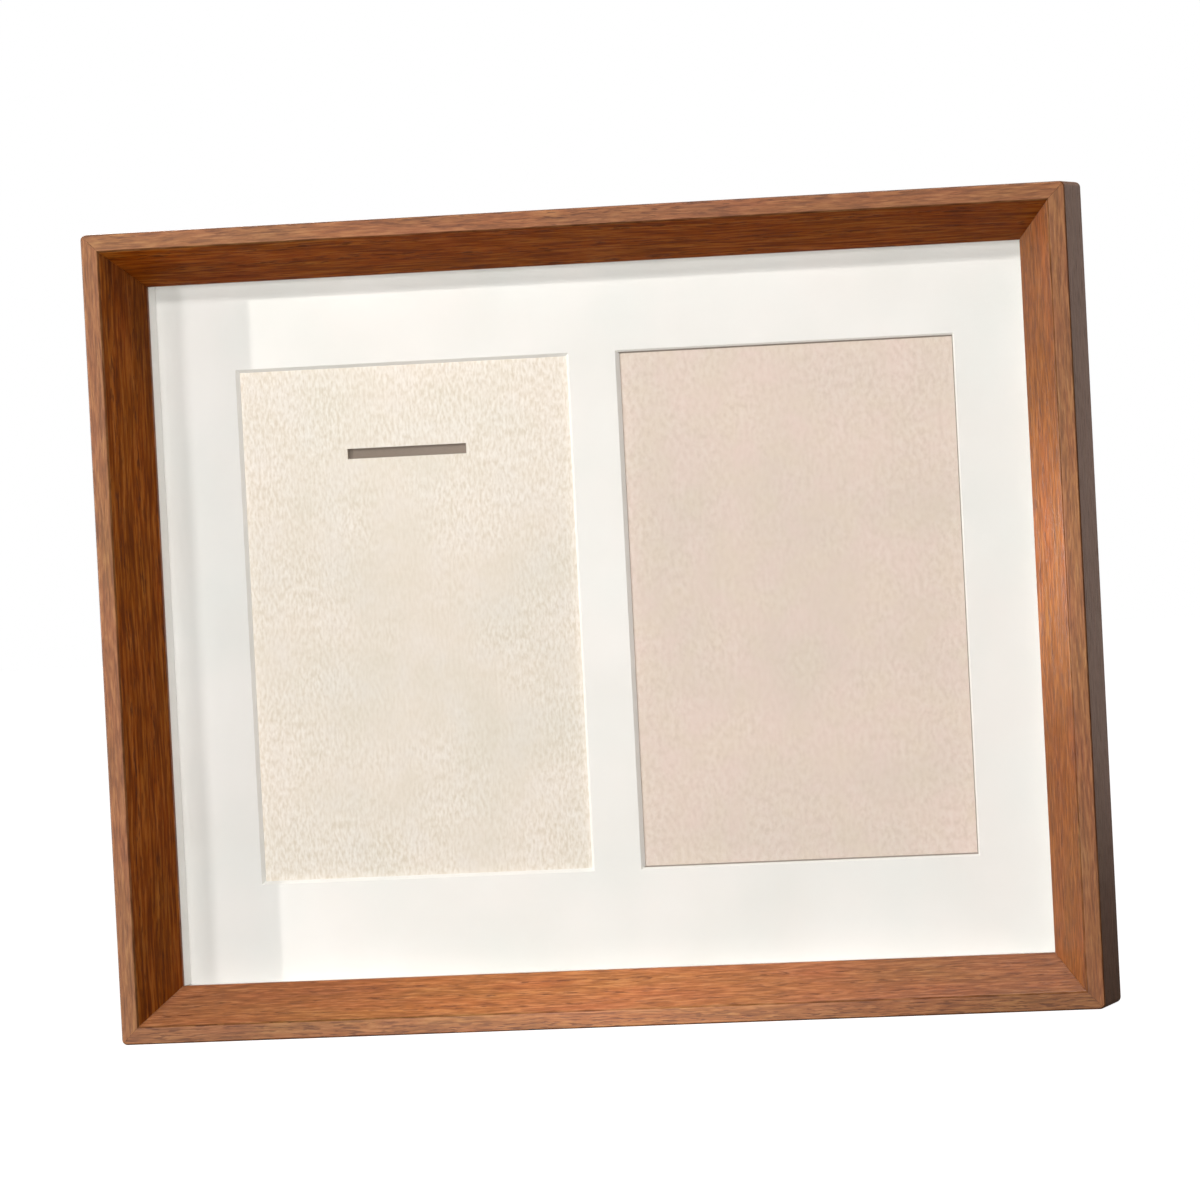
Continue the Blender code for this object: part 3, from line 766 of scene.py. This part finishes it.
# Back board: hardboard with rounded corners, lined on its front
backShape = {"corner": 0.002, "arris": 0.0003}
low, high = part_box("back_board")
back = addBlock("back", low, high)
startEdit(back)
easeEdges(backShape["corner"], steps=5, test=lambda e: runsAlong(e, 1))
easeEdges(backShape["arris"], steps=2, test=lambda e: near(e.verts[0].co.y, e.verts[1].co.y))
endEdit()
paint(back, hardboard, liner)
for face in back.data.polygons:
    face.material_index = 1 if face.normal.y < -facing else 0
settle(back, "box", "hardboard", "back_board")
print("back board made")


# Turn buttons: pressed plates with a rolled edge and a raised bead along the arm
buttonShape = {
    "hub": 0.004, "tip": 0.003, "reach": 0.014, "edge": 0.00028, "facets": 48,
    "hole": 0.0016, "holeFacets": 24,
    "beadLong": 0.0075, "beadWide": 0.0028, "beadHigh": 0.0004, "beadFacets": 32,
    "beadAt": 0.6,  # share of the reach
}


def makeButton(name, start, end):  # its screw axis on Y, its arm along +X
    shape = buttonShape
    gap = shape["reach"] - shape["tip"]
    plate = addRound(name, shape["hub"], start, end, 0, 0, shape["facets"])
    startEdit(plate)
    pick("VERT", lambda v: v.co.x > tiny)
    narrow = shape["tip"] / shape["hub"]
    bpy.ops.transform.resize(value=(narrow, 1, narrow), center_override=(0, (start + end) / 2, 0))
    bpy.ops.transform.translate(value=(gap, 0, 0))
    easeEdges(shape["edge"], steps=3, test=lambda e: liesAt(e, end))
    easeEdges(shape["edge"] / 2, steps=2, test=lambda e: liesAt(e, start))
    deselectAll()
    bpy.ops.mesh.primitive_uv_sphere_add(
        segments=shape["beadFacets"], ring_count=shape["beadFacets"] // 2, radius=1,
        location=(shape["reach"] * shape["beadAt"], end, 0),
        scale=(shape["beadLong"] / 2, shape["beadHigh"], shape["beadWide"] / 2))
    boolean(plate, takePrimitive("bead"), "UNION")
    hole = addRound("hole", shape["hole"], start - joined, end + joined * 3, 0, 0, shape["holeFacets"])
    boolean(plate, hole)
    return plate


low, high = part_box("turn_button_left")
pattern = makeButton("button_pattern", low.y, high.y)
for joint in frame["joints"]:
    body = joint["child"]
    node = "turn_" + body
    axis = Vector(joint["pos_m"])
    low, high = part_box(node)
    way = (low + high) / 2 - axis
    plate = copyPiece(pattern, body + "_plate")
    turnAbout(plate, Vector(), math.atan2(-way.z, way.x))
    moveTo(plate, axis.x, axis.z)
    paint(plate, zinc)
    fittings.append(settle(plate, body, "zinc_steel", node))
bpy.data.objects.remove(pattern)
print("turn buttons made")


# Screws: pan heads with a cross recess, on plain shanks with a pointed end
screwShape = {
    "head": 0.0027, "headHigh": 0.0015, "dome": 0.0008, "facets": 40,
    "shank": 0.0013, "point": 0.003, "tip": 0.08,  # tip as a share of the shank
    "crossSpan": 0.0031, "crossWide": 0.0008, "crossDeep": 0.0008,
    "crossFoot": 0.55,  # foot of the cutting bar as a share of its top
    "firstTurn": 17, "nextTurn": 41,  # degrees, as if driven by hand
}


def makeScrew(name, start, end, turn):  # on the Y axis, from its point to the top of its head
    shape = screwShape
    under = end - shape["headHigh"]
    screw = addRound(name, shape["head"], under, end, 0, 0, shape["facets"])
    startEdit(screw)
    easeEdges(shape["dome"], steps=5, test=lambda e: liesAt(e, end))
    pick("FACE", lambda f: f.normal.y < -facing)
    bpy.ops.mesh.inset(thickness=shape["head"] - shape["shank"])
    for travel in (start + shape["point"] - under, -shape["point"]):
        bpy.ops.mesh.extrude_region_move(TRANSFORM_OT_translate={"value": (0, travel, 0)})
    bpy.ops.transform.resize(value=(shape["tip"], 1, shape["tip"]), center_override=(0, start, 0))
    endEdit()
    long, wide, deep = shape["crossSpan"] / 2, shape["crossWide"] / 2, shape["crossDeep"]
    for a, b in ((long, wide), (wide, long)):
        bar = addBlock("bar", (-a, end - deep, -b), (a, end + deep, b))
        startEdit(bar)
        pick("FACE", lambda f: f.normal.y < -facing)
        bpy.ops.transform.resize(value=(shape["crossFoot"], 1, shape["crossFoot"]))
        endEdit()
        turnAbout(bar, Vector(), turn)
        boolean(screw, bar)
    return screw


for i, node in enumerate(screws):
    low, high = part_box(node)
    turn = math.radians(screwShape["firstTurn"] + screwShape["nextTurn"] * i)
    screw = makeScrew("pan_" + node.replace("turn_", ""), low.y, high.y, turn)
    moveTo(screw, (low.x + high.x) / 2, (low.z + high.z) / 2)
    paint(screw, zinc)
    fittings.append(settle(screw, "box", "zinc_steel", node))
print("screws made")


# Hanger: a pressed strip, its middle raised off the wood, with teeth along the lower edge
hangerShape = {
    "foot": 0.0075, "ramp": 0.002, "rise": 0.0018, "thick": 0.0008, "corner": 0.0012,
    "pitch": 0.0022, "toothDeep": 0.0014, "hole": 0.0016, "holeFacets": 24,
}
shape = hangerShape
low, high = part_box("sawtooth_hanger")
hanger = addBlock("hanger", low, (high.x, low.y + shape["thick"], high.z))
foot = high.x - shape["foot"]
raised = foot - shape["ramp"]
count = int(2 * raised / shape["pitch"])
first = -count * shape["pitch"] / 2
startEdit(hanger)
easeEdges(shape["corner"], steps=4, test=lambda e: runsAlong(e, 1))
for x in (-foot, -raised, raised, foot):
    cutPlane((x, 0, 0), (1, 0, 0))
for i in range(2 * count + 1):
    cutPlane((first + i * shape["pitch"] / 2, 0, 0), (1, 0, 0))
pick("VERT", lambda v: abs(v.co.x) < raised + tiny)
bpy.ops.transform.translate(value=(0, shape["rise"], 0))


def betweenTeeth(v):  # every other cut along the lower edge
    step = (v.co.x - first) / (shape["pitch"] / 2)
    return near(v.co.z, low.z) and 0 < round(step) < 2 * count and round(step) % 2 == 1


pick("VERT", betweenTeeth)
bpy.ops.transform.translate(value=(0, 0, shape["toothDeep"]))
endEdit()
for node in ("hanger_screw_left", "hanger_screw_right"):
    screwLow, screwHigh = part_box(node)
    centre = (screwLow + screwHigh) / 2
    boolean(hanger, addRound("hole", shape["hole"], low.y - joined, low.y + 3 * joined + shape["thick"],
                             centre.x, centre.z, shape["holeFacets"]))
paint(hanger, zinc)
fittings.append(settle(hanger, "box", "zinc_steel", "sawtooth_hanger"))
print("hanger made")


# Wall bumpers: moulded pads with a rounded rim
bumperShape = {"rim": 0.0006, "facets": 40}
for side in ("left", "right"):
    low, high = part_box("wall_bumper_" + side)
    centre = (low + high) / 2
    radius = (high.x - low.x) / 2
    pad = addRound("bumper_" + side, radius, low.y, high.y, centre.x, centre.z, bumperShape["facets"])
    startEdit(pad)
    easeEdges(bumperShape["rim"], steps=4, test=lambda e: liesAt(e, high.y))
    endEdit()
    paint(pad, rubber)
    fittings.append(settle(pad, "box", "soft_rubber", "wall_bumper_" + side))
print("bumpers made")


# Studio: a white floor, and lamps that each light one group of pieces, most of them soft
studio = {
    "white": "#FFFFFF", "floor": "#F4F3F1", "floorLight": "#F7F6F4", "floorSize": 8.0, "floorGlow": 1.0,
    "floorSpeck": 40.0,  # specks to the metre
    "ambient": "#FFF6EC", "ambientLevel": 0.09,
    "tint": "#FFFDFB",  # of every lamp that has none of its own
    "lamps": {  # pieces lit, place and size in metres, power in watts, a beam's cone in degrees
        "fill light": {"on": "inside", "at": (0.0, -1.8, 0.20), "size": 0.3, "power": 14.2},
        "shade light": {"on": "inside", "at": (-1.1, -1.5, 0.20), "size": 0.35, "power": 9.2},
        "band light": {"on": "inside", "at": (0.0, -1.45, 0.80), "size": 0.2, "power": 7.8},
        "edge light": {"on": "strips", "at": (1.110, -0.931, 0.300), "size": 0.4, "power": 5.6},
        "key light": {"kind": "POINT", "on": "mat", "at": (-0.715, -0.38, 0.382), "size": 0.008,
                      "power": 12.0, "tint": "#FFFAF4"},
        "panel light": {"on": "panels", "at": (-0.45, -0.8, 0.40), "size": 0.2, "power": 1.7},
        "linen beam": {"kind": "SPOT", "on": "panels", "at": (-0.35, -1.2, 0.5), "size": 0.05,
                       "power": 30.0, "aim": (-0.05, 0.01, 0.192), "cone": 3.0},
        "low light": {"on": "rails", "at": (-0.36, -1.6, 0.12), "size": 0.5, "power": 5.1},
        "left light": {"on": "rails", "at": (-1.0, -1.0, 0.15), "size": 0.3, "power": 8.8},
        "high light": {"on": "rails", "at": (-0.696, -0.773, 1.048), "size": 0.5, "power": 6.1},
        "right light": {"on": "rails", "at": (1.110, -0.931, 0.500), "size": 0.8, "power": 4.0},
        "slope light": {"on": "rails", "at": (-0.984, -0.174, 0.146), "size": 0.2, "power": 6.0},
        "slope beam": {"kind": "SPOT", "on": "rails", "at": (-0.9, -0.25, 0.140), "size": 0.02,
                       "power": 65.0, "tint": "#EDF8FF", "aim": (0.13, -0.01, 0.120), "cone": 4.8},
        "overhead light": {"on": "rails", "at": (0.0, -0.242, 1.082), "size": 0.2, "power": 7.3},
        "rail beam": {"kind": "SPOT", "on": "rails", "at": (-0.1, -0.9, 0.7), "size": 0.05,
                      "power": 57.0, "tint": "#F6FBFF", "aim": (-0.002, -0.01, 0.006), "cone": 9.0},
        "veil light": {"on": "rails", "at": (0.33, 0.95, 0.30), "size": 0.62, "power": 0.8,
                       "tint": "#FFE2D4"},
        "back light": {"on": "rails", "at": (-0.7, 1.1, 0.8), "size": 0.6, "power": 22.0},
        "board light": {"on": "board", "at": (-0.7, 1.1, 0.8), "size": 0.6, "power": 34.0},
        "metal light": {"on": "fittings", "at": (0.35, 1.2, 0.45), "size": 1.6, "power": 7.0},
        "glint light": {"on": "fittings", "at": (-0.6, 1.0, 0.9), "size": 0.3, "power": 1.5},
    },
}
deselectAll()
bpy.ops.mesh.primitive_grid_add(x_subdivisions=4, y_subdivisions=4, size=studio["floorSize"])
floor = takePrimitive("floor")
made, tree, place = newMaterial("matte white studio floor")
speck = addNode(tree, "TexNoise", {"Vector": place, "Scale": studio["floorSpeck"], "Detail": 2.0})
pale = addNode(tree, "ValToRGB", {0: speck.outputs[0]}, ramp=[
    (0.3, studio["floor"]), (0.7, studio["floorLight"])])
shader = addNode(tree, "BsdfPrincipled", {
    "Base Color": pale.outputs[0], "Roughness": 0.9, "Specular IOR Level": 0.1,
    "Emission Color": hexLinear(studio["white"]), "Emission Strength": studio["floorGlow"]})
addNode(tree, "OutputMaterial", {0: shader.outputs[0]})
paint(floor, made)
floor.visible_diffuse = False  # its glow stays off the box
floor.visible_glossy = False

world = bpy.data.worlds.new("studio white")
world.use_nodes = True
scene.world = world
tree = world.node_tree
tree.nodes.clear()
rays = addNode(tree, "LightPath")
ambient = addNode(tree, "Background", {
    "Color": hexLinear(studio["ambient"]), "Strength": studio["ambientLevel"]})
white = addNode(tree, "Background", {"Color": hexLinear(studio["white"]), "Strength": 1.0})
both = addNode(tree, "MixShader", {
    0: rays.outputs["Is Camera Ray"], 1: ambient.outputs[0], 2: white.outputs[0]})
addNode(tree, "OutputWorld", {0: both.outputs[0]})

lit = {  # the wood and the white inside have lamps of their own
    "rails": list(rails), "inside": [mat, back] + panels, "mat": [mat], "panels": panels + [back],
    "strips": strips, "board": [back], "fittings": fittings,
}
for name, pieces in lit.items():
    group = bpy.data.collections.new(name)
    for piece in pieces:
        group.objects.link(piece)
for name, lampSettings in studio["lamps"].items():
    kind = lampSettings.get("kind", "AREA")
    data = bpy.data.lights.new(name, kind)
    data.energy = lampSettings["power"]
    data.color = hexLinear(lampSettings.get("tint", studio["tint"]))[:3]
    if kind == "AREA":
        data.size = lampSettings["size"]
    else:
        data.shadow_soft_size = lampSettings["size"]
    if kind == "SPOT":
        data.spot_size = math.radians(lampSettings["cone"])
        data.spot_blend = 1.0
    lamp = bpy.data.objects.new(name, data)
    lamp.location = lampSettings["at"]
    aim = Vector(lampSettings.get("aim", middle))
    lamp.rotation_euler = (aim - lamp.location).to_track_quat("-Z", "Y").to_euler()
    lamp.visible_camera = False
    scene.collection.objects.link(lamp)
    lamp.light_linking.receiver_collection = bpy.data.collections[lampSettings["on"]]

# Camera: where the photograph was taken from, rolled as it is
cameraView = {
    "lens": 283.85, "sensor": 36,  # mm
    "azimuth": 12.257, "elevation": 1.181, "roll": -2.935,  # degrees
    "distance": 2.5855, "aim": (0.0007, 0.0002, 0.1160), "sees": 50,  # metres
}
data = bpy.data.cameras.new("camera")
data.lens = cameraView["lens"]
data.sensor_width = cameraView["sensor"]
data.clip_end = cameraView["sees"]
camera = bpy.data.objects.new("camera", data)
azimuth, elevation = math.radians(cameraView["azimuth"]), math.radians(cameraView["elevation"])
flat = math.cos(elevation)
outward = Vector((math.sin(azimuth) * flat, -math.cos(azimuth) * flat, math.sin(elevation)))
place = Vector(cameraView["aim"]) + outward * cameraView["distance"]
look = (-outward).to_track_quat("-Z", "Y").to_matrix().to_4x4()
roll = Matrix.Rotation(math.radians(cameraView["roll"]), 4, "Z")
camera.matrix_world = Matrix.Translation(place) @ look @ roll
scene.collection.objects.link(camera)
scene.camera = camera
print("studio made")

deselectAll()
